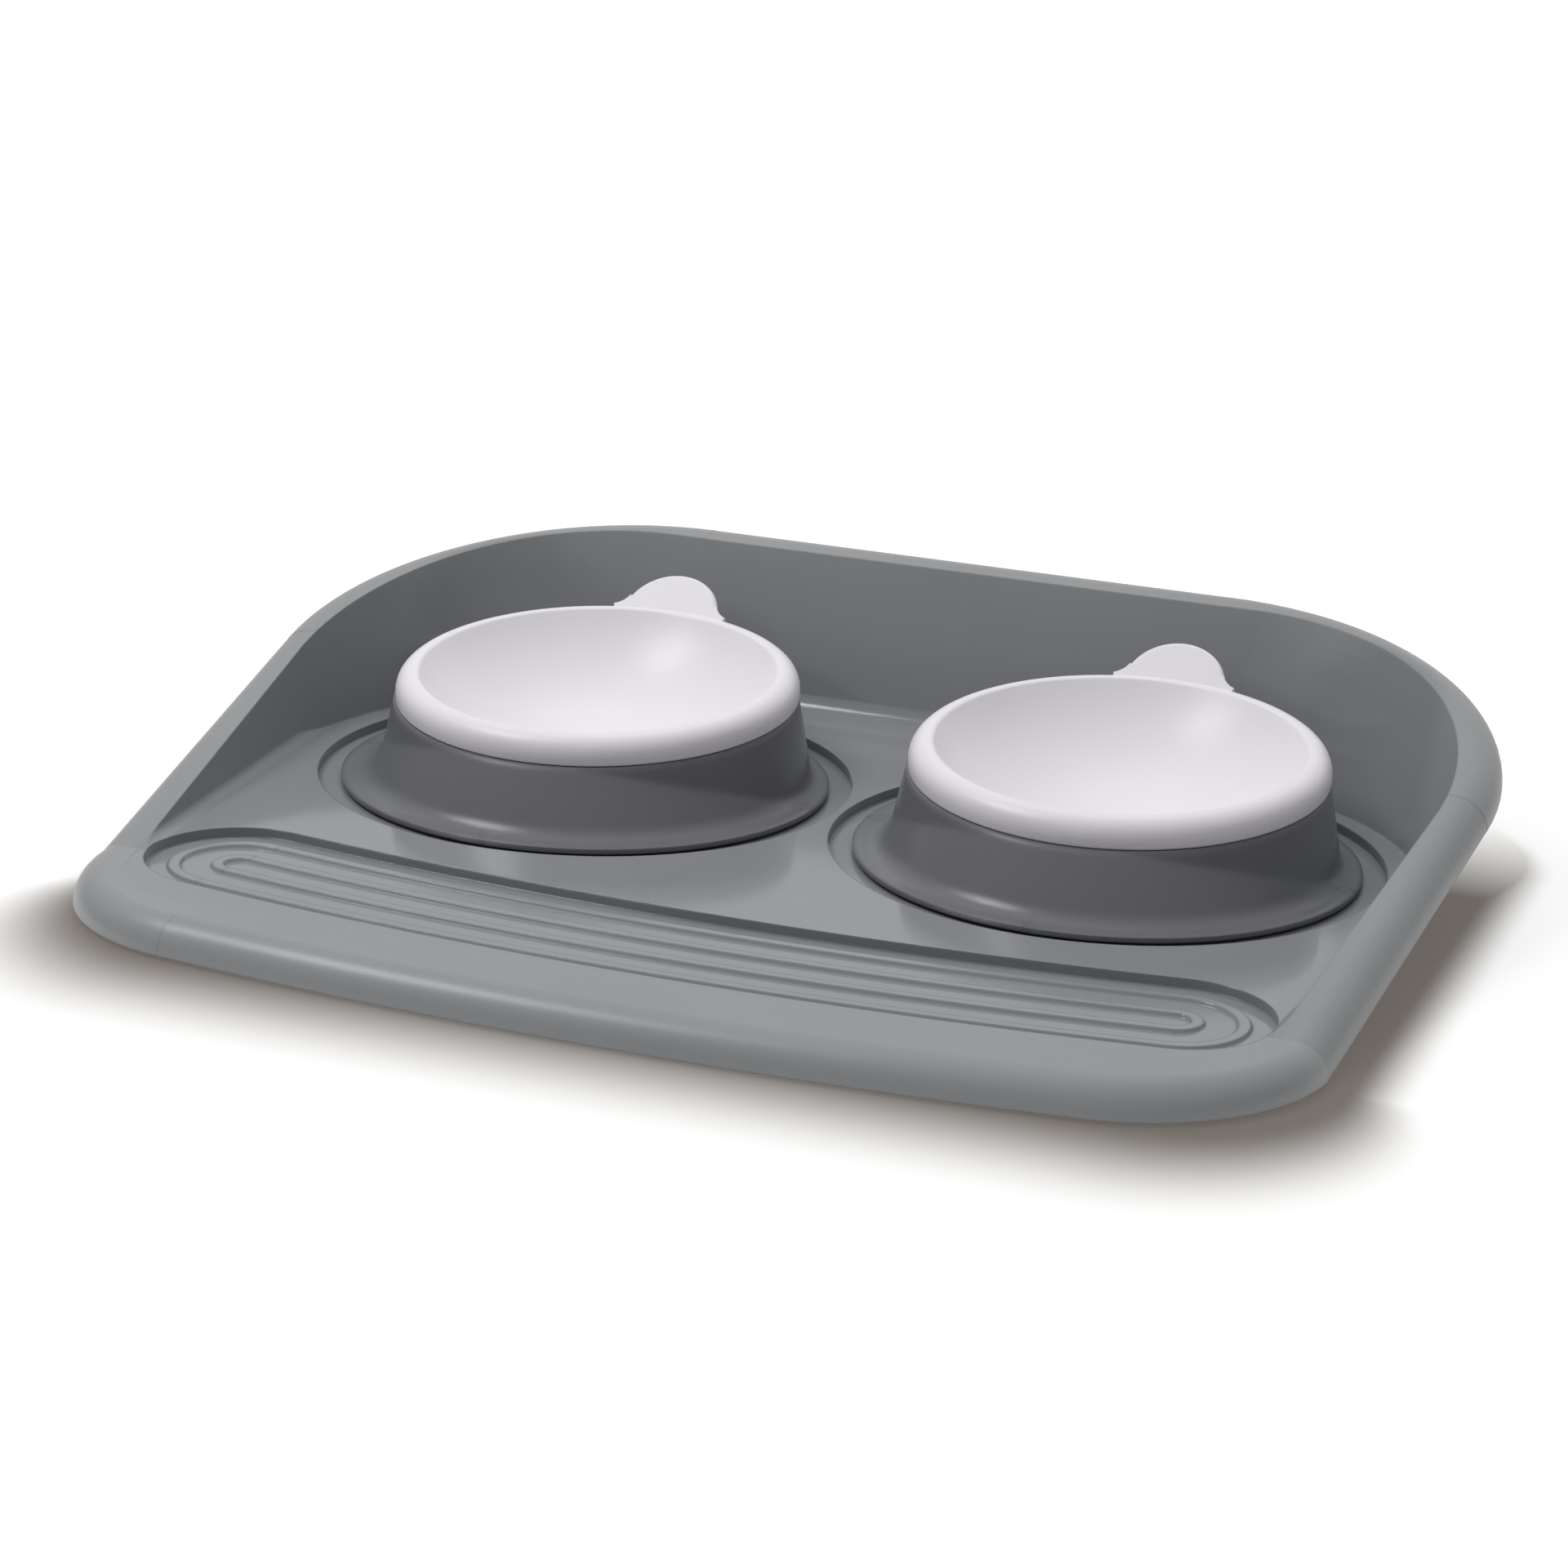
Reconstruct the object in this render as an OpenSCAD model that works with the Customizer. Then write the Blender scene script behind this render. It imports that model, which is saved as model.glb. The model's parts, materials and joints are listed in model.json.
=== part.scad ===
// Double pet bowl: a splash tray, two round stands and two lift-out bowls.
// The tray is a moulded shell whose rim runs flat round the front spill well
// and then climbs in one sloping plane to a tall leaning back.
// +X is to the right, +Y to the back, +Z up, and the table is at zero.

/* [Tray] */
// Distance from the side of a bowl out to the widest line of the tray's rim
side_margin = 49.9; // [46:0.1:60]
// Distance from the back of the bowls to the back edge of the tray
back_margin = 53.2; // [52:0.1:60]
// Distance from the spill well back to the front of the bowls
platform_run = 54.1; // [44:0.1:60]
// Height of the rim plane above the table at the back edge
back_height = 68; // [55:1:90]
// Height of the platform and the front lip above the table
platform_height = 11; // [9:0.5:16]
// Depth of the spill well and of the stand recesses below the platform
pocket_depth = 3; // [2:0.25:4]
// Wall and floor thickness of the tray
tray_wall = 2.4; // [1.8:0.1:2.8]
// Plan radius of the two front corners
front_corner_radius = 62; // [45:1:66]
// Plan radius of the two back corners
back_corner_radius = 111; // [100:1:116]
// Radius of the gentle bow of the front edge
front_bow_radius = 1000; // [800:10:1400]
// Angle by which each side closes in towards the front
side_taper = 4.6; // [3:0.1:5.5]
// Angle by which the side walls open upwards
side_draft = 7; // [4:0.5:10]
// Angle by which the back wall leans back
back_lean = 22; // [15:0.5:25]
// Distance from the rim's outer edge in to the foot of the side wall
side_inset = 15.6; // [14:0.1:18]
// Distance from the rim's outer edge in to the foot of the back wall
back_inset = 36; // [32:0.5:40]
// Radius of the hollow corner where the floor meets the back wall
back_foot_radius = 16; // [8:1:18]
// Radius of the hollow corner where the floor meets the side walls
side_foot_radius = 4; // [2:0.5:6]

/* [Rim] */
// Radius of the rim's rounded outer edge
rim_round = 10; // [8:0.5:10.5]
// Thickness of the rounded rim
rim_thickness = 3.2; // [3:0.1:4]

/* [Spill well] */
// Distance from the front edge in to the front of the spill well
lip_width = 33.5; // [30:0.5:38]
// Size of the spill well from front to back
well_width = 57; // [48:1:60]
// Distance of the ends of the well in from the widest line of the tray's rim
well_margin = 29.5; // [28.5:0.5:42]
// Number of ridge loops moulded in the floor of the well
ridge_loops = 2; // [1:1:2]
// Distance between neighbouring ridges
ridge_pitch = 13; // [11:0.5:14]
// Height of each ridge above the floor of the well
ridge_height = 1; // [0.6:0.1:1.2]
// Width of each ridge at its foot
ridge_width = 5; // [3:0.1:6]

/* [Bowls] */
// Distance between the rims of the two bowls
bowl_gap = 44.8; // [43:0.1:52]
// Height of the centre of a bowl's rim above the table
bowl_height = 38; // [36.5:0.5:46]
// Angle by which a bowl leans towards the front
bowl_tilt = 5; // [0:0.5:6]
// Overall diameter of a bowl across its rim
bowl_diameter = 131.2; // [124:0.2:133]
// Radius of the rim's rounded outer edge
bowl_rim_round = 6.5; // [5.5:0.25:6.5]
// Width of the rim from its outer edge to the dish
bowl_rim_width = 8.1; // [7.6:0.1:9]
// Height of the straight band below the rounded rim
bowl_band = 2; // [1:0.25:3]
// Depth of the dish below the crest of the rim
dish_depth = 28; // [24:0.5:28]
// Wall thickness of a bowl
bowl_wall = 2.4; // [2:0.1:2.6]
// Depth of the ring below the rim that centres the bowl in its stand
spigot_depth = 5; // [3:0.5:6]
// Outer radius of the foot ring under the dish
foot_ring_radius = 22; // [18:1:24]
// Depth of the foot ring below the dish
foot_ring_depth = 1.2; // [0.8:0.1:1.3]

/* [Finger tab] */
// Radius of the round finger tab at the back of a bowl
tab_radius = 16.6; // [14:0.1:19]
// Thickness of the finger tab
tab_thickness = 3.4; // [2.8:0.1:4]
// Distance of the centre of the tab inside the rim's outer edge
tab_inset = 4; // [2:0.5:6]
// Angle by which the tab rises from the rim
tab_rise = 33; // [20:1:38]
// Radius of the hollow corners where the tab meets the rim
tab_root_radius = 7; // [4:0.5:9]

/* [Stands] */
// Angle by which a stand widens towards its foot
stand_draft = 11.3; // [8:0.1:12]
// Wall thickness of a stand
stand_wall = 2.6; // [2:0.1:2.8]
// Distance by which the foot of a stand lies in front of its mouth
stand_lean = 8; // [5:0.5:8]
// Width of the flat flange round the foot of a stand
flange_width = 8.5; // [8.5:0.1:9]
// Thickness of the flange
flange_thickness = 1.5; // [1.4:0.1:2]
// Radius of the hollow flare where the stand meets its flange
flare_radius = 7; // [4:0.25:9]
// Width of the ring round the mouth of a stand that the bowl sits on
seat_width = 4.4; // [3.8:0.1:4.8]
// Depth of the seat ring below the mouth of the stand
seat_depth = 7; // [5:0.5:8]
// Width of the round recess beyond the flange of the stand in it
recess_margin = 7.5; // [6:0.1:7.8]

/* [Rubber feet] */
// Diameter of a rubber foot under the tray
foot_diameter = 16; // [14:0.5:18]
// Radius of the rounded lower edge of a foot
foot_edge = 1; // [0.5:0.1:1.4]
// Wall of the ring that a foot is glued into
socket_wall = 1.6; // [1.2:0.1:2]
// Depth of the ring that a foot is glued into
socket_depth = 2; // [1:0.1:2.4]
// Distance of the front corner feet in from the widest line of the tray's rim
front_foot_inset = 65.5; // [60:0.5:73]
// Distance of the back corner feet in from the widest line of the tray's rim
back_foot_inset = 81.5; // [76:0.5:91]
// Distance of the back corner feet in front of the tray's back edge
back_foot_margin = 84.5; // [81:0.5:92]
// Distance of the back middle foot in front of the tray's back edge
middle_foot_margin = 68.5; // [61:0.5:72]
// Diameter of a small rubber pad under a stand
pad_diameter = 6; // [5:0.25:6.5]
// How far a pad stands out below the stand
pad_proud = 0.8; // [0.5:0.1:1]
// How deep a pad is let into the stand
pad_sunk = 0.8; // [0.5:0.1:1]

/* [Fit] */
// Gap left between pieces that rest on each other and lift off
rest_gap = 0.3; // [0.2:0.05:0.4]
// Gap all round between a bowl's centring ring and its stand
spigot_gap = 0.6; // [0.3:0.1:0.8]

/* [Hidden] */
$fn = 180;

// Every cut runs on past its solid by this much
overrun = 1;
// Curved stretches are this much fuller than the straight ones that run on
// into them, so that neighbouring stretches merge cleanly
merge_step = 0.05;
// Spare width of the sloping rim's strip over the tops of the walls
strip_spare = 4;
// How far a straight stretch runs on into a curved one
merge_run = 0.5;
// Share of the rim's thickness that the walls reach up into
wall_seat_share = 0.95;
// Share of a ridge's height that is sunk in the floor
ridge_root_share = 0.3;
// Share of the flat inner strip of the rim that lies outside the floor
strip_share = 0.25;
// Share of the pocket depth by which a recess also cuts the hollow corner behind it
recess_rise_share = 0.7;
// Number of straight steps that make up the flare of a stand
flare_steps = 7;
// Share of a stand's height at its front that its slanting front skirt would overtop
skirt_spare_share = 0.06;
// Share of the bowl's rim taken by the small round where it turns into the dish
dish_edge_share = 0.15;

// The tray is as large as its bowls, its well and the margins round them
bowl_radius = bowl_diameter / 2;
bowl_spacing = bowl_diameter + bowl_gap;
tray_width = bowl_spacing + bowl_diameter + 2 * side_margin;
tray_depth = lip_width + well_width + platform_run + bowl_diameter + back_margin;
bowl_row = tray_depth / 2 - back_margin - bowl_radius;
// A length beyond every piece, for half spaces and long cuts
reach = 3 * tray_width;

// The outer plan line of the tray
front_y = -tray_depth / 2;
// The outer edge lies below the sloping plane, which carries it a little further back
slope_guess = atan((back_height - platform_height) / (tray_depth - front_corner_radius - rim_round));
back_y = tray_depth / 2 - rim_round * sin(slope_guess);
half_width = tray_width / 2;
front_span = front_bow_radius - front_corner_radius;

// The sloping part of the rim starts where the front corners end.
// Its two unknowns, the start and the slope, follow from each other,
// so the slope's small effect on the plan is settled in a few passes.
function slope_from(start_y) = atan((back_height - platform_height) / (back_y - start_y));
function run_from(start_y) = (back_y - start_y) / cos(slope_from(start_y));
function side_x_from(start_y) = half_width - back_corner_radius
    + (back_corner_radius / cos(side_taper))
    - tan(side_taper) * (run_from(start_y) - back_corner_radius);
function start_from(x) = front_y - front_corner_radius * sin(side_taper)
    + front_bow_radius
    - sqrt(pow(front_span, 2) - pow(x - front_corner_radius * cos(side_taper), 2));
first_start = start_from(half_width);
second_start = start_from(side_x_from(first_start));

// Centres of the front corner and of the front bow
corner_x = side_x_from(start_from(side_x_from(second_start))) - front_corner_radius * cos(side_taper);
bow_y = front_y + front_bow_radius;
bow_angle = asin(corner_x / front_span);
corner_y = bow_y - front_span * cos(bow_angle);
merge_angle = atan(merge_run / front_bow_radius);
kink_x = corner_x + front_corner_radius * cos(side_taper);
kink_y = corner_y - front_corner_radius * sin(side_taper);
rim_slope = slope_from(kink_y);
rim_run = run_from(kink_y);
// Centre of the back corner, in the sloping plane of the rim
back_centre_run = rim_run - back_corner_radius;
side_run = back_centre_run - back_corner_radius * sin(side_taper);
back_centre_x = kink_x + side_run * tan(side_taper) - back_corner_radius * cos(side_taper);

// Levels
well_z = platform_height - pocket_depth;
under_z = well_z - tray_wall;
foot_height = under_z;

// Where the side and back walls meet the platform
foot_x = kink_x - side_inset / cos(side_taper);
foot_y = back_y - back_inset;
// Outward directions of the right side wall and of the back wall
side_normal = [cos(side_taper) * cos(side_draft), -sin(side_taper) * cos(side_draft), -sin(side_draft)];
back_normal = [0, cos(back_lean), -sin(back_lean)];
// The back corner of the hollow is a leaning cylinder that touches both walls
hollow_radius = back_corner_radius - side_inset;
edge_line = cross(side_normal, back_normal);
edge_way = edge_line / norm(edge_line);
edge_tilt = acos(edge_way[2]);
edge_turn = atan2(edge_way[1], edge_way[0]);
hollow_y = foot_y - hollow_radius / cos(back_lean);
hollow_x = foot_x + (hollow_y - kink_y) * tan(side_taper)
    - hollow_radius / (cos(side_draft) * cos(side_taper));
edge_across = [cos(edge_tilt) * cos(edge_turn), cos(edge_tilt) * sin(edge_turn), -sin(edge_tilt)];
edge_along = [-sin(edge_turn), cos(edge_turn), 0];
side_way = [side_normal * edge_across, side_normal * edge_along];
back_way = [back_normal * edge_across, back_normal * edge_along];

// Spill well
well_outer = front_bow_radius - lip_width;
well_middle = well_outer - well_width / 2;
well_round = well_width / 2;
well_end_x = half_width - well_margin - well_round;
well_angle = asin(well_end_x / well_middle);
well_end_y = bow_y - well_middle * cos(well_angle);

// Bowls
bowl_x = bowl_spacing / 2;
crest_height = bowl_rim_round;
dish_edge = dish_edge_share * bowl_rim_width;
// The dish is part of a sphere that touches the small round at its edge
dish_edge_x = bowl_radius - bowl_rim_width + dish_edge;
dish_edge_z = crest_height - dish_edge;
dish_fall = dish_depth - dish_edge;
dish_sphere = (pow(dish_edge_x, 2) + pow(dish_fall, 2) - pow(dish_edge, 2)) / (2 * dish_depth);
dish_centre_z = crest_height - dish_depth + dish_sphere;
dish_under_z = crest_height - dish_depth - bowl_wall;
band_bottom = -bowl_band;
seat_bore = bowl_radius - seat_width;
spigot_radius = seat_bore - spigot_gap;
tab_centre = bowl_radius - tab_inset;
tab_z = crest_height - tab_thickness;

// Stands
seat_plane = band_bottom - rest_gap;
stand_bottom = well_z + rest_gap + pad_proud;
flange_top = stand_bottom + flange_thickness;
stand_mouth_z = bowl_height + seat_plane;
stand_flare = tan(stand_draft);
stand_foot = bowl_radius + (stand_mouth_z - flange_top) * stand_flare;
stand_top_z = stand_mouth_z + bowl_radius * sin(bowl_tilt) + overrun;
foot_row = bowl_row - stand_lean;
flange_radius = stand_foot + flange_width;
// The skirt slants from the foot to the front of the tilted mouth
skirt_height = stand_mouth_z - bowl_radius * sin(bowl_tilt) - flange_top;
skirt_flare = stand_flare + stand_lean / (skirt_height * (1 + skirt_spare_share));
skirt_draft = atan(skirt_flare);
recess_radius = flange_radius + recess_margin;
pad_ring = flange_radius - pad_diameter / 2 - stand_wall / 4;

// Mirrored pair in plan and in space
module both_sides() {
    children();
    mirror([1, 0, 0]) children();
}

// Section of the rim: a rounded outer edge and a flat strip inside it.
// The outer edge is at the given radius and the top is at zero. A spare width
// of strip runs on over the walls, where the hollow of the tray trims it.
module rim_section(radius, fuller, spare) {
    strip = side_inset - rim_round + fuller + spare;
    translate([radius - rim_round, -rim_round]) {
        difference() {
            intersection() {
                circle(rim_round + fuller);
                square(rim_round + overrun);
            }
            circle(rim_round - rim_thickness - fuller);
        }
        translate([-strip, rim_round - rim_thickness - fuller])
            square([strip, rim_thickness + 2 * fuller]);
    }
}

module rim_arc(radius, start, angle, fuller, spare) {
    rotate([0, 0, start])
        rotate_extrude(angle = angle, $fn = radius > tray_width ? 1440 : 180)
            rim_section(radius, fuller, spare, $fn = 180);
}

// Straight rim along +Y whose outer edge is at zero
module rim_straight(length) {
    translate([0, length, 0])
        rotate([90, 0, 0])
            linear_extrude(height = length)
                rim_section(0, 0, strip_spare);
}

// The flat rim round the front
module front_rim() {
    spread = bow_angle + merge_angle;
    translate([0, bow_y, platform_height])
        rim_arc(front_bow_radius, -90 - spread, 2 * spread, 0, 0);
    both_sides()
        translate([corner_x, corner_y, platform_height])
            rim_arc(front_corner_radius, bow_angle - 90, 90 - bow_angle - side_taper,
                    merge_step, 0);
}

// The rim along the sides and back, drawn flat and then laid in its sloping plane
module sloping_rim() {
    difference() {
        translate([0, kink_y, platform_height]) rotate([rim_slope, 0, 0]) {
            both_sides() {
                translate([kink_x, 0, 0])
                    rotate([0, 0, -side_taper])
                        translate([0, -rim_round, 0])
                            rim_straight(side_run / cos(side_taper) + rim_round + merge_run);
                translate([back_centre_x, back_centre_run, 0])
                    rim_arc(back_corner_radius, -side_taper, 90 + side_taper, merge_step,
                            strip_spare);
            }
            translate([-back_centre_x - merge_run, rim_run, 0])
                rotate([0, 0, 90])
                    mirror([0, 1, 0])
                        rim_straight(2 * (back_centre_x + merge_run));
        }
        translate([-reach / 2, kink_y - merge_run - reach, -reach / 2])
            cube(reach);
    }
}

// Space between the tray's walls: growth moves every wall outwards
module between_walls(growth, bottom, top) {
    difference() {
        intersection() {
            both_halves(growth);
            translate([0, foot_y, platform_height])
                rotate([-back_lean, 0, 0])
                    translate([-reach / 2, growth - reach, -reach / 2])
                        cube(reach);
            translate([-reach / 2, -reach / 2, bottom])
                cube([reach, reach, top - bottom]);
        }
        both_sides()
            translate([hollow_x, hollow_y, platform_height])
                rotate([0, edge_tilt, edge_turn])
                    linear_extrude(height = tray_width, center = true)
                        difference() {
                            polygon([[0, 0], reach * side_way, reach * (side_way + back_way),
                                     reach * back_way]);
                            circle(hollow_radius + growth + merge_step);
                        }
    }
}

// The space inside both side walls
module both_halves(growth) {
    intersection() {
        side_half(growth);
        mirror([1, 0, 0]) side_half(growth);
    }
}

module side_half(growth) {
    translate([foot_x, kink_y, platform_height])
        rotate([0, 0, -side_taper])
            rotate([0, side_draft, 0])
                translate([growth - reach, -reach / 2, -reach / 2])
                    cube(reach);
}

// Hollow corner between a level floor and a wall that leans out by an angle,
// as a flat shape with the corner at the origin and the wall to the right
module hollow_corner(radius, lean) {
    tangent = radius * tan((90 - lean) / 2);
    difference() {
        polygon([[0, -overrun], [-tangent, -overrun], [-tangent, 0], [-tangent, radius],
                 [tangent * sin(lean), tangent * cos(lean)],
                 [tangent * sin(lean) + overrun, tangent * cos(lean)],
                 [overrun, -overrun]]);
        translate([-tangent, radius])
            circle(radius + merge_step);
    }
}

// The open space of the tray above its platform
module tray_hollow() {
    difference() {
        between_walls(0, platform_height, back_height + rim_round);
        translate([0, foot_y, platform_height])
            rotate([90, 0, 90])
                linear_extrude(height = tray_width, center = true)
                    hollow_corner(back_foot_radius, back_lean);
        both_sides()
            translate([foot_x, kink_y, platform_height])
                rotate([90, 0, -side_taper])
                    linear_extrude(height = 2 * tray_depth, center = true)
                        hollow_corner(side_foot_radius, side_draft);
    }
}

// Plan of the tray inside its outer line, open towards the back
module tray_plan(inset) {
    corner = front_corner_radius - inset;
    side_point = [corner_x + corner * cos(side_taper), corner_y - corner * sin(side_taper)];
    bow_point = [corner_x + corner * sin(bow_angle), corner_y - corner * cos(bow_angle)];
    far_y = back_y;
    far_point = [side_point[0] + (far_y - side_point[1]) * tan(side_taper), far_y];
    polygon([[-bow_point[0], bow_point[1]], bow_point, side_point, far_point,
             [-far_point[0], far_point[1]], [-side_point[0], side_point[1]]]);
    both_sides()
        translate([corner_x, corner_y])
            circle(corner + merge_step);
    intersection() {
        translate([0, bow_y])
            circle(front_bow_radius - inset, $fn = 1440);
        translate([-bow_point[0], front_y])
            square([2 * bow_point[0], corner_y - front_y]);
    }
}

// Plan of the spill well, larger all round by a growth
module well_plan(growth) {
    intersection() {
        translate([0, bow_y])
            difference() {
                circle(well_outer + growth, $fn = 1440);
                circle(well_outer - well_width - growth, $fn = 1440);
            }
        translate([0, bow_y])
            polygon([[0, 0], [-reach * tan(well_angle), -reach], [reach * tan(well_angle), -reach]]);
    }
    both_sides()
        translate([well_end_x, well_end_y])
            circle(well_round + growth + merge_step);
}

module recess_plan(growth) {
    both_sides()
        translate([bowl_x, foot_row])
            circle(recess_radius + growth);
}

// Places of the rubber feet, left to right, the front row first
function foot_places() =
    let (front_x = half_width - front_foot_inset,
         back_x = half_width - back_foot_inset,
         back_row = tray_depth / 2 - back_foot_margin)
    [[-front_x, well_end_y], [0, bow_y - well_middle], [front_x, well_end_y],
     [-back_x, back_row], [0, tray_depth / 2 - middle_foot_margin], [back_x, back_row]];

// Ridge loops on the floor of the well
module ridge_section(radius, fuller) {
    foot = ridge_width / 2 + fuller;
    top = ridge_width / 2 - ridge_height + fuller;
    crest = ridge_height + fuller;
    root = -ridge_height * ridge_root_share;
    polygon([[radius - foot, root], [radius + foot, root], [radius + top, crest],
             [radius - top, crest]]);
}

module ridge_loop(distance) {
    spread = well_angle + merge_angle;
    for (side = [-1, 1])
        translate([0, bow_y, well_z])
            rotate([0, 0, -90 - spread])
                rotate_extrude(angle = 2 * spread, $fn = 1440)
                    ridge_section(well_middle + side * distance, 0);
    both_sides()
        translate([well_end_x, well_end_y, well_z])
            rotate([0, 0, well_angle - 90])
                rotate_extrude(angle = 180)
                    ridge_section(distance, merge_step);
}

module ridges() {
    for (i = [0 : ridge_loops - 1])
        ridge_loop((i + 1 / 2) * ridge_pitch);
}

// The walls and the rim above the platform
module tray_walls() {
    front_rim();
    sloping_rim();
    intersection() {
        between_walls(tray_wall, under_z, back_height + rim_round);
        translate([0, kink_y, platform_height])
            rotate([rim_slope, 0, 0])
                translate([-reach / 2, 0, -reach - rim_thickness * wall_seat_share])
                    cube(reach);
    }
}

module tray_floor() {
    intersection() {
        translate([0, 0, under_z])
            linear_extrude(height = platform_height - under_z)
                tray_plan(rim_round + strip_share * (side_inset - rim_round));
        between_walls(tray_wall, under_z, platform_height);
    }
}

// Hollows under the platform, where it stands above the well and the recesses
module under_relief() {
    intersection() {
        translate([0, 0, under_z - overrun])
            linear_extrude(height = pocket_depth + overrun)
                difference() {
                    tray_plan(side_inset);
                    well_plan(tray_wall);
                    recess_plan(tray_wall);
                    for (place = foot_places())
                        translate(place)
                            circle(foot_diameter / 2 + rest_gap + socket_wall);
                }
        between_walls(0, under_z - overrun, platform_height);
    }
}

module tray() {
    color("#8b8f91") {
        difference() {
            union() {
                tray_walls();
                tray_floor();
            }
            tray_hollow();
            translate([0, 0, well_z])
                linear_extrude(height = pocket_depth + overrun)
                    well_plan(0);
            translate([0, 0, well_z])
                linear_extrude(height = pocket_depth * (1 + recess_rise_share))
                    recess_plan(0);
            under_relief();
        }
        difference() {
            ridges();
            translate([0, 0, well_z])
                linear_extrude(height = pocket_depth)
                    recess_plan(0);
        }
        for (place = foot_places())
            translate([place[0], place[1], under_z - socket_depth])
                difference() {
                    cylinder(h = socket_depth, r = foot_diameter / 2 + rest_gap + socket_wall);
                    translate([0, 0, -overrun])
                        cylinder(h = socket_depth + overrun, r = foot_diameter / 2 + rest_gap);
                }
    }
}

module rubber_foot(index) {
    radius = foot_diameter / 2;
    place = foot_places()[index];
    color("#3a3b3d")
        translate([place[0], place[1], 0])
            rotate_extrude() {
                translate([0, foot_edge])
                    square([radius, foot_height - foot_edge]);
                square([radius - foot_edge, foot_height]);
                intersection() {
                    translate([radius - foot_edge, foot_edge])
                        circle(foot_edge, $fn = 48);
                    square([radius, foot_height]);
                }
            }
}

// The bowl's own frame, level with its tilted rim
module bowl_frame(side) {
    translate([side * bowl_x, bowl_row, bowl_height])
        rotate([bowl_tilt, 0, 0])
            children();
}

// Round solid that closes in upwards, as wide as the stand's foot at the flange
module stand_cone(side, row, inset, slope, bottom) {
    height = stand_top_z - bottom;
    wide = stand_foot - inset + (flange_top - bottom) * slope;
    translate([side * bowl_x, row, bottom])
        cylinder(h = height, r1 = wide, r2 = wide - height * slope);
}

// Half section of the slanting skirt with its hollow flare and flange, as if solid;
// the flare is a row of short straight steps
module skirt_section() {
    tangent = flare_radius * tan((90 - skirt_draft) / 2);
    step_turn = (90 - skirt_draft) / flare_steps;
    flare = [for (step = [0 : flare_steps])
        [stand_foot + tangent - flare_radius * sin(step * step_turn),
         flange_top + flare_radius * (1 - cos(step * step_turn))]];
    polygon(concat([[0, stand_bottom], [flange_radius, stand_bottom], [flange_radius, flange_top]],
                   flare,
                   [[stand_foot - (stand_top_z - flange_top) * skirt_flare, stand_top_z],
                    [0, stand_top_z]]));
}

module pad_place(turn) {
    rotate([0, 0, turn])
        translate([pad_ring, 0, stand_bottom - pad_proud])
            children();
}

// The stand is a shell: an upright wall under the bowl, and a skirt that slants
// to a foot further forward; the flange stays whole for the pads
module stand(side) {
    color("#85898b")
        difference() {
            union() {
                stand_cone(side, bowl_row, 0, stand_flare, stand_bottom);
                translate([side * bowl_x, foot_row, 0])
                    rotate_extrude()
                        skirt_section();
            }
            bowl_frame(side) {
                translate([-reach / 2, -reach / 2, seat_plane])
                    cube([reach, reach, reach]);
                translate([0, 0, seat_plane - seat_depth - overrun])
                    cylinder(h = seat_depth + 2 * overrun, r = seat_bore);
            }
            intersection() {
                union() {
                    stand_cone(side, bowl_row, stand_wall / cos(stand_draft), stand_flare,
                               flange_top);
                    stand_cone(side, foot_row, stand_wall / cos(skirt_draft), skirt_flare,
                               stand_bottom - overrun);
                }
                bowl_frame(side)
                    translate([-reach / 2, -reach / 2, seat_plane - seat_depth - reach])
                        cube([reach, reach, reach]);
            }
            translate([side * bowl_x, foot_row, 0])
                for (turn = [0 : 90 : 270])
                    pad_place(turn)
                        cylinder(h = pad_proud + pad_sunk, r = pad_diameter / 2);
        }
}

module stand_pad(side, turn) {
    color("#3a3b3d")
        translate([side * bowl_x, foot_row, 0])
            pad_place(turn)
                cylinder(h = pad_proud + pad_sunk, r = pad_diameter / 2);
}

// Half section of a bowl: rolled rim, dish, centring ring and foot ring
module bowl_section() {
    crest_x = bowl_radius - bowl_rim_round;
    difference() {
        union() {
            intersection() {
                translate([crest_x, 0])
                    circle(bowl_rim_round, $fn = 96);
                translate([crest_x, 0])
                    square(bowl_rim_round + overrun);
            }
            translate([dish_edge_x, band_bottom])
                square([crest_x - dish_edge_x, crest_height - band_bottom]);
            translate([crest_x, band_bottom])
                square([bowl_rim_round, bowl_band]);
            translate([dish_edge_x, dish_edge_z])
                circle(dish_edge, $fn = 48);
        }
        translate([crest_x, 0])
            circle(bowl_rim_round - bowl_wall, $fn = 96);
        translate([crest_x - bowl_rim_round + bowl_wall, band_bottom - overrun])
            square([2 * (bowl_rim_round - bowl_wall), bowl_band + overrun]);
    }
    difference() {
        intersection() {
            translate([0, dish_centre_z])
                circle(dish_sphere + bowl_wall, $fn = 360);
            polygon([[0, dish_centre_z], [0, dish_under_z], [spigot_radius, dish_under_z],
                     [spigot_radius, dish_edge_z], [dish_edge_x, dish_edge_z]]);
        }
        translate([0, dish_centre_z])
            circle(dish_sphere, $fn = 360);
    }
    translate([spigot_radius - bowl_wall, band_bottom - spigot_depth])
        square([bowl_wall, spigot_depth - band_bottom + crest_height - bowl_wall / 2]);
    difference() {
        translate([foot_ring_radius - bowl_wall, dish_under_z - foot_ring_depth])
            square([bowl_wall, foot_ring_depth + 2 * bowl_wall]);
        translate([0, dish_centre_z])
            circle(dish_sphere + bowl_wall / 2, $fn = 360);
    }
}

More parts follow.
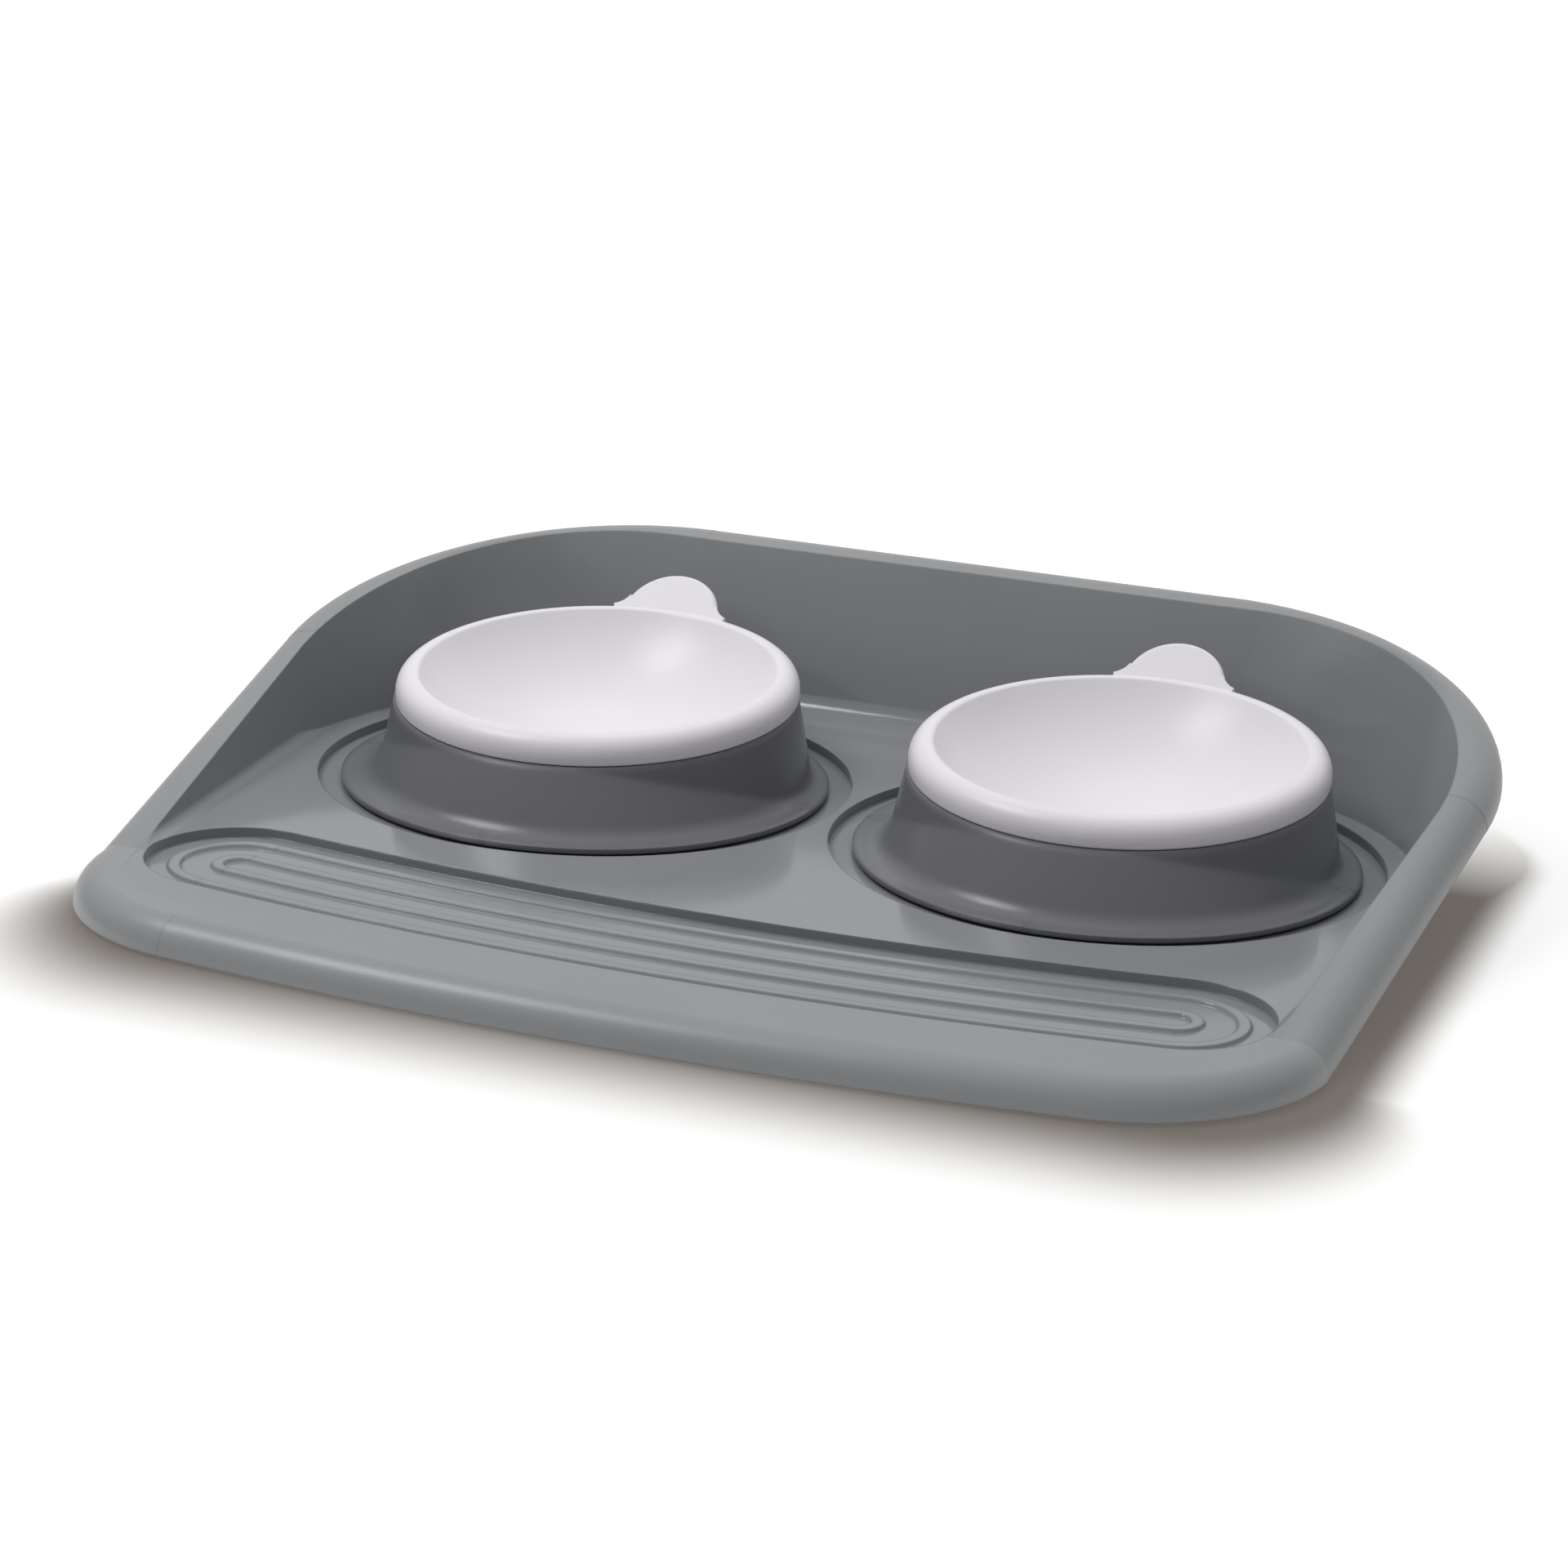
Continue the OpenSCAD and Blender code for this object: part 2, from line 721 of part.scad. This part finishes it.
// Plan of the finger tab in its own plane, with hollow corners at its root
module tab_root(side) {
    far = tab_radius + tab_root_radius;
    rim = bowl_radius + tab_root_radius;
    along = (pow(tab_centre, 2) + pow(rim, 2) - pow(far, 2)) / (2 * tab_centre);
    across = side * sqrt(pow(rim, 2) - pow(along, 2));
    inside_share = (bowl_radius - bowl_rim_round) / rim;
    difference() {
        polygon([[0, 0], [across, along - tab_centre],
                 [across * inside_share, along * inside_share - tab_centre],
                 [0, bowl_radius - bowl_rim_round - tab_centre]]);
        translate([across, along - tab_centre])
            circle(tab_root_radius, $fn = 96);
    }
}

module finger_tab() {
    translate([0, tab_centre, tab_z])
        rotate([tab_rise, 0, 0]) {
            rotate_extrude() {
                square([tab_radius - tab_thickness / 2, tab_thickness]);
                intersection() {
                    translate([tab_radius - tab_thickness / 2, tab_thickness / 2])
                        circle(tab_thickness / 2, $fn = 48);
                    square([tab_radius, tab_thickness]);
                }
            }
            linear_extrude(height = tab_thickness) {
                tab_root(-1);
                tab_root(1);
            }
        }
}

module bowl(side) {
    color("#e6e4e6")
        bowl_frame(side) {
            rotate_extrude()
                bowl_section();
            difference() {
                finger_tab();
                translate([0, 0, -reach / 2])
                    cylinder(h = reach, r = bowl_radius - bowl_rim_round + bowl_wall / 2);
            }
        }
}

tray();
rubber_foot(0);  // front_left_foot
rubber_foot(1);  // front_middle_foot
rubber_foot(2);  // front_right_foot
rubber_foot(3);  // back_left_foot
rubber_foot(4);  // back_middle_foot
rubber_foot(5);  // back_right_foot
stand(-1);  // left_stand
stand_pad(-1, 270);  // left_stand_front_pad
stand_pad(-1, 90);  // left_stand_back_pad
stand_pad(-1, 180);  // left_stand_outer_pad
stand_pad(-1, 0);  // left_stand_inner_pad
stand(1);  // right_stand
stand_pad(1, 270);  // right_stand_front_pad
stand_pad(1, 90);  // right_stand_back_pad
stand_pad(1, 0);  // right_stand_outer_pad
stand_pad(1, 180);  // right_stand_inner_pad
bowl(-1);  // left_bowl
bowl(1);  // right_bowl
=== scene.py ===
import json
import math

import bpy
from mathutils import Matrix, Vector


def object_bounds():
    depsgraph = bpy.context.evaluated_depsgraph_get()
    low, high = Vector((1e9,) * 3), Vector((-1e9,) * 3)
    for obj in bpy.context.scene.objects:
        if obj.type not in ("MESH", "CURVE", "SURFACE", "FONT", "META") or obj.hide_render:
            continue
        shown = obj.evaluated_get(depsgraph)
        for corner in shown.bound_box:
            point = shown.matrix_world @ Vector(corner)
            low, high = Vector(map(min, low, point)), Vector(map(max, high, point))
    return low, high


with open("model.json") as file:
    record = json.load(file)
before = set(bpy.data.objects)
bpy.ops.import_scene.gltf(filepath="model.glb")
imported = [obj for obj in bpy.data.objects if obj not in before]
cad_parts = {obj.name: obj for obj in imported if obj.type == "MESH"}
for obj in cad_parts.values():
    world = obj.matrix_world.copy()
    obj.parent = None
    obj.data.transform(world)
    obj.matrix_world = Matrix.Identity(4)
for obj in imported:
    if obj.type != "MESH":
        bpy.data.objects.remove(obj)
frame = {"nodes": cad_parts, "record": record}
first_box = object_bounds()


# Colours and small helpers

# Blender's mix node keeps its two colours in inputs 6 and 7 and the mixed one in output 2
FIRST, SECOND, MIXED = 6, 7, 2


def linear(code):
    """A hex sRGB colour as linear RGBA."""
    values = [int(code[i:i + 2], 16) / 255 for i in (1, 3, 5)]
    flat = [v / 12.92 if v <= 0.04045 else ((v + 0.055) / 1.055) ** 2.4 for v in values]
    return (*flat, 1.0)


def add(tree, kind, inputs=None, **settings):
    """A shader node with its settings, each input linked to a socket or set to a value."""
    node = tree.nodes.new(kind)
    for key, value in settings.items():
        setattr(node, key, value)
    for key, value in (inputs or {}).items():
        if isinstance(value, bpy.types.NodeSocket):
            tree.links.new(value, node.inputs[key])
        else:
            node.inputs[key].default_value = value
    return node


def new_material(name):
    material = bpy.data.materials.new(name)
    material.use_nodes = True
    material.node_tree.nodes.clear()
    return material, material.node_tree


# The tray's plan is close to a rectangle with round corners, centred on the origin (metres)
half_plan = first_box[1]
plan_corner = 0.062


def plan_distance(tree, spot):
    """Vector and distance from the middle rectangle, inside the round corners of the plan."""
    fold = add(tree, "ShaderNodeVectorMath", {0: spot}, operation="ABSOLUTE")
    middle = (half_plan[0] - plan_corner, half_plan[1] - plan_corner, 1.0)
    past = add(tree, "ShaderNodeVectorMath", {0: fold.outputs[0], 1: middle},
               operation="SUBTRACT")
    outer = add(tree, "ShaderNodeVectorMath", {0: past.outputs[0], 1: (0.0, 0.0, 0.0)},
                operation="MAXIMUM")
    return outer, add(tree, "ShaderNodeVectorMath", {0: outer.outputs[0]}, operation="LENGTH")


# Moulded plastic and rubber

# Slow patches of colour and gloss, about 45 mm across, as moulded plastic has them
patch_scale = 22.0
patch_detail = 3.0
# The noise stays between these two, so the gloss never reaches a hard end with an edge to it
patch_low, patch_high = 0.1, 0.9
grain_detail = 2.0
grain_strength = 0.6
plastic_ior = 1.49
# The mould is polished from the first of these inwards and satin from the second outwards,
# both measured in from the plan outline (metres)
polish_full, polish_end = 0.032, 0.024
# How much of the drop in roughness also darkens the colour, a painted shade inside the rim
inner_painted_shade = 0.45


def plastic(name, colour, darker, rough, rough_spread, grain_mm, grain_depth_mm, edge_mm,
            specular=0.5, polished_drop=0.0):
    """Moulded plastic: a fine grain, slow colour and gloss patches, and softened edges.

    A real mould grain is about 0.1 mm and too fine to show, so grain_mm is drawn coarser.
    """
    material, tree = new_material(name)
    place = add(tree, "ShaderNodeTexCoord").outputs["Object"]
    patch = add(tree, "ShaderNodeTexNoise",
                {"Vector": place, "Scale": patch_scale, "Detail": patch_detail})
    grain = add(tree, "ShaderNodeTexNoise",
                {"Vector": place, "Scale": 1000.0 / grain_mm, "Detail": grain_detail})
    tone = add(tree, "ShaderNodeMix", {"Factor": patch.outputs["Fac"], FIRST: linear(colour),
                                       SECOND: linear(darker)}, data_type="RGBA")
    gloss = add(tree, "ShaderNodeMapRange", {"Value": patch.outputs["Fac"],
                                             "From Min": patch_low, "From Max": patch_high,
                                             "To Min": rough - rough_spread,
                                             "To Max": rough + rough_spread})
    skin_colour, skin_rough = tone.outputs[MIXED], gloss.outputs["Result"]
    if polished_drop:
        # The floor is polished, and the polish fades out on the way up to the satin rim
        reach = plan_distance(tree, place)[1].outputs["Value"]
        polish = add(tree, "ShaderNodeMapRange", {"Value": reach,
                                                  "From Min": plan_corner - polish_full,
                                                  "From Max": plan_corner - polish_end,
                                                  "To Min": -polished_drop, "To Max": 0.0})
        skin_rough = add(tree, "ShaderNodeMath", {0: skin_rough, 1: polish.outputs["Result"]},
                         operation="ADD").outputs[0]
        # Painted shade: the colour darkens with the polish, so the floor and walls inside the
        # rim are darker than the rim
        inner_shade_scale = add(tree, "ShaderNodeMath",
                    {0: polish.outputs["Result"], 1: inner_painted_shade, 2: 1.0},
                    operation="MULTIPLY_ADD")
        skin_colour = add(tree, "ShaderNodeVectorMath",
                          {0: skin_colour, "Scale": inner_shade_scale.outputs[0]},
                          operation="SCALE").outputs[0]
    edge = add(tree, "ShaderNodeBevel", {"Radius": edge_mm / 1000}, samples=4)
    bump = add(tree, "ShaderNodeBump", {"Height": grain.outputs["Fac"],
                                        "Normal": edge.outputs["Normal"],
                                        "Distance": grain_depth_mm / 1000,
                                        "Strength": grain_strength})
    shade = add(tree, "ShaderNodeBsdfPrincipled", {"Base Color": skin_colour,
                                                   "Roughness": skin_rough,
                                                   "Normal": bump.outputs["Normal"],
                                                   "IOR": plastic_ior,
                                                   "Specular IOR Level": specular})
    add(tree, "ShaderNodeOutputMaterial", {"Surface": shade.outputs["BSDF"]})
    return material


# Injection-moulded polypropylene of the tray: an even neutral grey, painted a little darker
# inside the rim as shade, with a satin rim and a polished floor that mirrors the bowls, the
# stands and the bright backdrop
tray_skin = plastic("polypropylene_injection_moulded_gloss", "#8b8d8f", "#86888a",
                    rough=0.36, rough_spread=0.02, grain_mm=0.9, grain_depth_mm=0.005,
                    edge_mm=0.9, polished_drop=0.26)
# The same plastic in the stands, its colour painted darker than the tray's as shade under the
# bowls; evenly satin, with wide soft edges that let the upright mouth flow into the slanting
# skirt
stand_skin = plastic("polypropylene_injection_moulded_satin", "#6c6d72", "#67686d",
                     rough=0.26, rough_spread=0.03, grain_mm=0.9, grain_depth_mm=0.006,
                     edge_mm=3.2)
# Compression-moulded melamine of the bowls: dense near-white with a gentle gloss
bowl_skin = plastic("melamine_compression_moulded_gloss", "#e2dfe3", "#dedbdf",
                    rough=0.32, rough_spread=0.03, grain_mm=1.2, grain_depth_mm=0.004,
                    edge_mm=0.8, specular=0.3)
# Compression-moulded rubber of the feet and pads: near-black and dull
rubber_skin = plastic("rubber_compression_moulded_dull", "#3c3d3f", "#343537",
                      rough=0.8, rough_spread=0.05, grain_mm=0.5, grain_depth_mm=0.03,
                      edge_mm=0.3, specular=0.3)

skins = {"tray_plastic": tray_skin, "stand_plastic": stand_skin,
         "bowl_plastic": bowl_skin, "rubber": rubber_skin}
slots = {s["node"]: s["material_slot"] for s in frame["record"]["subparts"]}
for name, node in frame["nodes"].items():
    node.data.materials.clear()
    node.data.materials.append(skins[slots[name]])


# Camera: the photograph's view, solved from the bowl rims and the tray

camera_place = (0.3968, -1.1025, 0.3936)
camera_azimuth, camera_elevation, camera_roll = 20.056, 17.232, 2.454
focal_pixels, frame_pixels = 4881.14, 1920
sensor_mm = 36.0


def camera_axes(azimuth, elevation, roll):
    """The directions across the picture, down it and into it, from angles in degrees."""
    a, e, r = (math.radians(v) for v in (azimuth, elevation, roll))
    ahead = Vector((-math.sin(a) * math.cos(e), math.cos(a) * math.cos(e), -math.sin(e)))
    right = Vector((math.cos(a), math.sin(a), 0.0))
    down = ahead.cross(right)
    across = right * math.cos(r) - down * math.sin(r)
    below = right * math.sin(r) + down * math.cos(r)
    return across, below, ahead


eye = bpy.data.objects.new("camera", bpy.data.cameras.new("camera"))
bpy.context.scene.collection.objects.link(eye)
across, below, ahead = camera_axes(camera_azimuth, camera_elevation, camera_roll)
turn = Matrix((across, -below, -ahead)).transposed().to_4x4()
eye.matrix_world = Matrix.Translation(camera_place) @ turn
eye.data.sensor_width = sensor_mm
eye.data.lens = sensor_mm * focal_pixels / frame_pixels
eye.data.clip_start = 0.05
eye.data.clip_end = 30
bpy.context.scene.camera = eye


# Light: a soft key from the left and a wide soft light from above and behind, in a pale room

lamp_aim = Vector((0.0, 0.02, 0.02))


def softbox(name, place, side, watts):
    """A square white area lamp, its side in metres, that faces the object."""
    lamp = bpy.data.lights.new(name, "AREA")
    lamp.shape = "RECTANGLE"
    lamp.size = lamp.size_y = side
    lamp.energy = watts
    box = bpy.data.objects.new(name, lamp)
    bpy.context.scene.collection.objects.link(box)
    box.location = place
    box.rotation_euler = (lamp_aim - Vector(place)).to_track_quat("-Z", "Y").to_euler()
    return box


softbox("key_softbox", (-0.8, -0.3, 1.35), 0.5, 8.5)
# The top light has no mirror image in the gloss, where the room is bright enough already
softbox("top_softbox", (-0.3, 0.8, 1.45), 0.9, 9.0).visible_glossy = False


def light_room():
    """A room that is white above and behind and dark low in front, and white to the camera."""
    full_height = 0.9
    backdrop_start, backdrop_full = 0.3, 0.9
    room_level = 0.75
    white_level = 1.0
    world = bpy.data.worlds.new("room")
    bpy.context.scene.world = world
    world.use_nodes = True
    tree = world.node_tree
    tree.nodes.clear()
    ray = add(tree, "ShaderNodeLightPath")
    way = add(tree, "ShaderNodeTexCoord")
    part = add(tree, "ShaderNodeSeparateXYZ", {0: way.outputs["Generated"]})
    rise = add(tree, "ShaderNodeMapRange", {"Value": part.outputs["Z"],
                                            "From Min": 0.0, "From Max": full_height})
    # The white backdrop stands behind the object, so the room is bright there to the floor
    backdrop = add(tree, "ShaderNodeMapRange", {"Value": part.outputs["Y"],
                                                "From Min": backdrop_start,
                                                "From Max": backdrop_full})
    lit = add(tree, "ShaderNodeMath", {0: rise.outputs["Result"], 1: backdrop.outputs["Result"]},
              operation="MAXIMUM")
    tone = add(tree, "ShaderNodeMix", {"Factor": lit.outputs[0], FIRST: linear("#4c4b4e"),
                                       SECOND: linear("#ffffff")}, data_type="RGBA")
    room = add(tree, "ShaderNodeBackground",
               {"Color": tone.outputs[MIXED], "Strength": room_level})
    seen = add(tree, "ShaderNodeBackground",
               {"Color": linear("#ffffff"), "Strength": white_level})
    pick = add(tree, "ShaderNodeMixShader",
               {0: ray.outputs["Is Camera Ray"], 1: room.outputs[0], 2: seen.outputs[0]})
    add(tree, "ShaderNodeOutputWorld", {"Surface": pick.outputs[0]})


light_room()


# Floor: pale matt paper that takes the lamps' soft shadow, with a painted contact shade round
# the tray, and fades to white in the camera's view

def lay_floor():
    """The paper, with a painted soft contact shade round the tray's plan (all lengths in
    metres).
    """
    half = 4.0
    fibre_scale = 900.0
    fibre_detail = 2.0
    under_shade = 0.014
    side_shade = 0.005
    front_shade = 0.05
    shade_shift = 0.008
    clear_start, clear_full = 0.08, 0.16
    white_start, white_full = 0.1, 0.7
    near_level, far_level = 1.06, 1.45
    lift_share = 0.7
    mesh = bpy.data.meshes.new("floor")
    corners = [(-half, -half, 0), (half, -half, 0), (half, half, 0), (-half, half, 0)]
    mesh.from_pydata(corners, [], [(0, 1, 2, 3)])
    floor = bpy.data.objects.new("floor", mesh)
    bpy.context.scene.collection.objects.link(floor)
    material, tree = new_material("paper_backdrop_matt")
    place = add(tree, "ShaderNodeTexCoord").outputs["Object"]
    fibre = add(tree, "ShaderNodeTexNoise",
                {"Vector": place, "Scale": fibre_scale, "Detail": fibre_detail})
    tone = add(tree, "ShaderNodeMix", {"Factor": fibre.outputs["Fac"],
                                       FIRST: linear("#f3f1ef"),
                                       SECOND: linear("#f0eeec")}, data_type="RGBA")
    # The painted shade is moved a little to the right, as the key stands to the left
    moved = add(tree, "ShaderNodeVectorMath", {0: place, 1: (shade_shift, 0.0, 0.0)},
                operation="SUBTRACT")
    outer, far = plan_distance(tree, moved.outputs[0])
    # The painted shade is widest in front, where the low lip stands clear of the floor
    facing = add(tree, "ShaderNodeVectorMath", {0: outer.outputs[0]}, operation="NORMALIZE")
    side = add(tree, "ShaderNodeSeparateXYZ", {0: facing.outputs[0]})
    plan = add(tree, "ShaderNodeSeparateXYZ", {0: place})
    front = add(tree, "ShaderNodeMath", {0: plan.outputs["Y"], 1: 0.0}, operation="LESS_THAN")
    ahead_share = add(tree, "ShaderNodeMath", {0: side.outputs["Y"], 1: front.outputs[0]},
                      operation="MULTIPLY")
    width = add(tree, "ShaderNodeMapRange", {"Value": ahead_share.outputs[0],
                                             "To Min": plan_corner + side_shade,
                                             "To Max": plan_corner + front_shade})
    fade = add(tree, "ShaderNodeMapRange", {"Value": far.outputs["Value"],
                                            "From Min": plan_corner - under_shade,
                                            "From Max": width.outputs["Result"]},
               interpolation_type="SMOOTHSTEP")
    # Behind, the walls lean out over the floor, so the painted shade fades out there and only
    # the lamps' own shadow is left
    behind = add(tree, "ShaderNodeMapRange", {"Value": plan.outputs["Y"],
                                              "From Min": clear_start,
                                              "From Max": clear_full})
    clear = add(tree, "ShaderNodeMath", {0: fade.outputs["Result"], 1: behind.outputs["Result"]},
                operation="MAXIMUM")
    # Painted shade: warm grey close to the tray's plan, fading to white further out
    painted_shade = add(tree, "ShaderNodeMix", {"Factor": clear.outputs[0], FIRST: linear("#78726d"),
                                         SECOND: linear("#ffffff")}, data_type="RGBA")
    # Only the camera sees the paper dimmed by the painted shade
    ray = add(tree, "ShaderNodeLightPath").outputs["Is Camera Ray"]
    dimmed = add(tree, "ShaderNodeMix", {"Factor": ray, FIRST: tone.outputs[MIXED],
                                         SECOND: painted_shade.outputs[MIXED]},
                 data_type="RGBA", blend_type="MULTIPLY")
    paper = add(tree, "ShaderNodeBsdfDiffuse", {"Color": dimmed.outputs[MIXED]})
    # Away from the object the lamps fall off, and the lift makes up for it to plain white; near
    # the tray the lift carries the painted shade too
    level = add(tree, "ShaderNodeMapRange", {"Value": far.outputs["Value"],
                                             "From Min": white_start, "From Max": white_full,
                                             "To Min": near_level, "To Max": far_level})
    lift = add(tree, "ShaderNodeEmission", {"Color": painted_shade.outputs[MIXED],
                                            "Strength": level.outputs["Result"]})
    share = add(tree, "ShaderNodeMath", {0: ray, 1: lift_share}, operation="MULTIPLY")
    both = add(tree, "ShaderNodeMixShader",
               {0: share.outputs[0], 1: paper.outputs[0], 2: lift.outputs[0]})
    add(tree, "ShaderNodeOutputMaterial", {"Surface": both.outputs[0]})
    mesh.materials.append(material)


lay_floor()
bpy.context.scene.view_settings.view_transform = "Standard"
